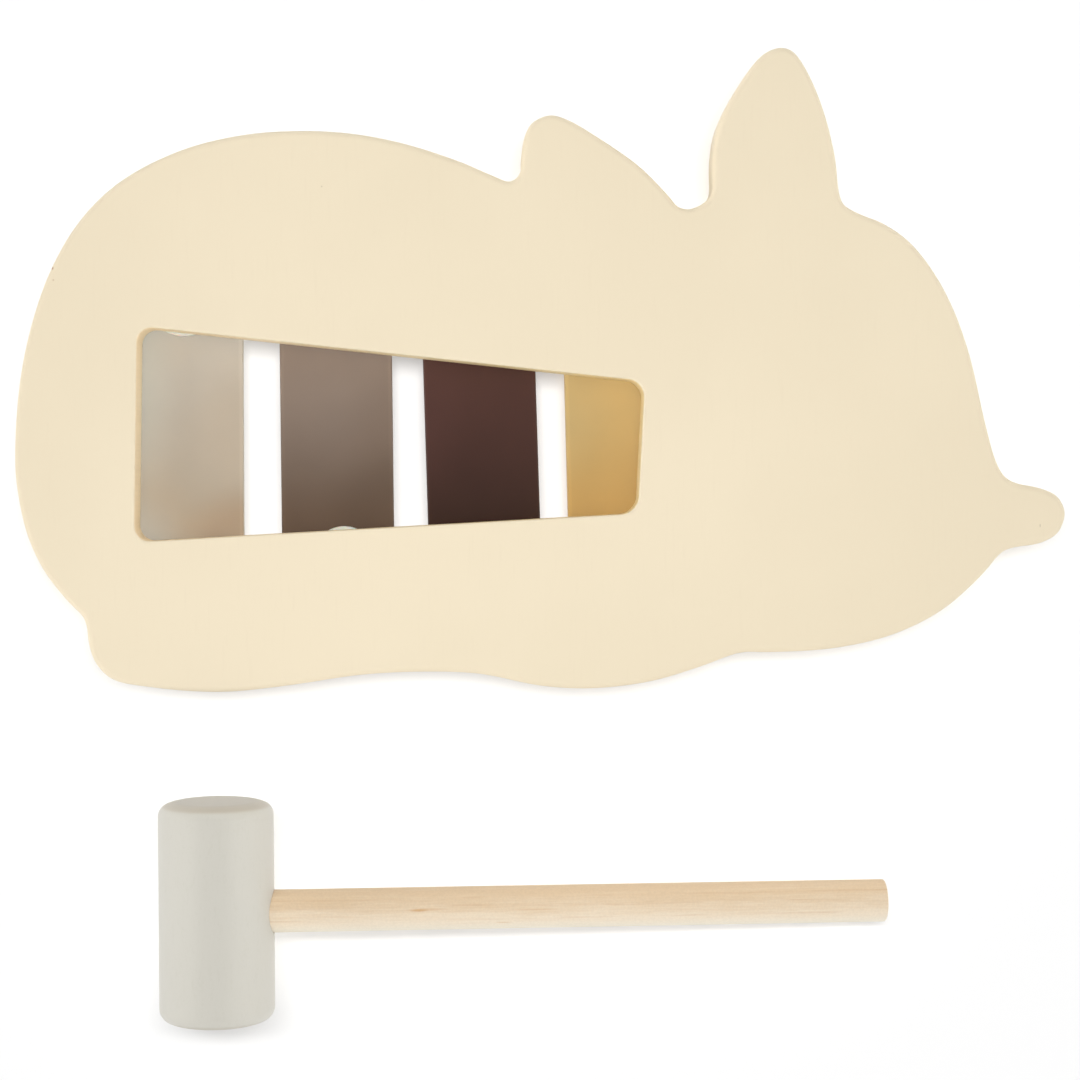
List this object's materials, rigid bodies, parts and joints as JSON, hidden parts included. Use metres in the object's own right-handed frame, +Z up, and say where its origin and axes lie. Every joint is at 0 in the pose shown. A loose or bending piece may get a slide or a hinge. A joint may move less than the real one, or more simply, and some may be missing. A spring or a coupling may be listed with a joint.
{
  "type": "toy xylophone",
  "caption": "Flat wooden board in a lying animal's outline with metal tone bars screwed on soft pads beside a sound slot, lying bars down, with a separate wooden mallet.",
  "frame": {"origin": "middle of the footprint of the whole set, board and mallet, on the surface it lies on", "axes": "+X along the board from the animal's rump to its nose, +Y from its belly and the mallet to its ears, +Z up out of the board's back face; bars and screw heads are below"},
  "size_m": [0.29, 0.2698, 0.032],
  "materials": {
    "board_cream": "matt cream lacquer on a smooth board with rounded edges",
    "tone_bar_grey_beige": "satin paint, smooth, with soft gradients of reflected light",
    "tone_bar_taupe": "satin paint, smooth, with soft gradients of reflected light",
    "tone_bar_dark_brown": "satin paint, smooth, with soft gradients of reflected light",
    "tone_bar_mustard": "satin paint, smooth, with soft gradients of reflected light",
    "soft_pad": "whitish, slightly translucent, smooth",
    "clear_washer": "milky, smooth",
    "screw_steel": "bright zinc-plated steel",
    "mallet_head_grey": "matt light warm-grey paint, the grain faintly showing",
    "mallet_handle_wood": "bare smooth light hardwood with long fine grain"
  },
  "bodies": {
    "instrument": {"base_board": "board_cream", "tone_bar_1": "tone_bar_grey_beige", "bar_1_pad_upper": "soft_pad", "bar_1_pad_lower": "soft_pad", "bar_1_washer_upper": "clear_washer", "bar_1_washer_lower": "clear_washer", "bar_1_screw_upper": "screw_steel", "bar_1_screw_lower": "screw_steel", "tone_bar_2": "tone_bar_taupe", "bar_2_pad_upper": "soft_pad", "bar_2_pad_lower": "soft_pad", "bar_2_washer_upper": "clear_washer", "bar_2_washer_lower": "clear_washer", "bar_2_screw_upper": "screw_steel", "bar_2_screw_lower": "screw_steel", "tone_bar_3": "tone_bar_dark_brown", "bar_3_pad_upper": "soft_pad", "bar_3_pad_lower": "soft_pad", "bar_3_washer_upper": "clear_washer", "bar_3_washer_lower": "clear_washer", "bar_3_screw_upper": "screw_steel", "bar_3_screw_lower": "screw_steel", "tone_bar_4": "tone_bar_mustard", "bar_4_pad_upper": "soft_pad", "bar_4_pad_lower": "soft_pad", "bar_4_washer_upper": "clear_washer", "bar_4_washer_lower": "clear_washer", "bar_4_screw_upper": "screw_steel", "bar_4_screw_lower": "screw_steel"},
    "mallet": {"mallet_head": "mallet_head_grey", "mallet_handle": "mallet_handle_wood"}
  },
  "joints": [
    {"name": "mallet_lift", "type": "slide", "parent": "instrument", "child": "mallet", "axis": [0, 0, 1], "range_m": [0, 0.06]}
  ]
}
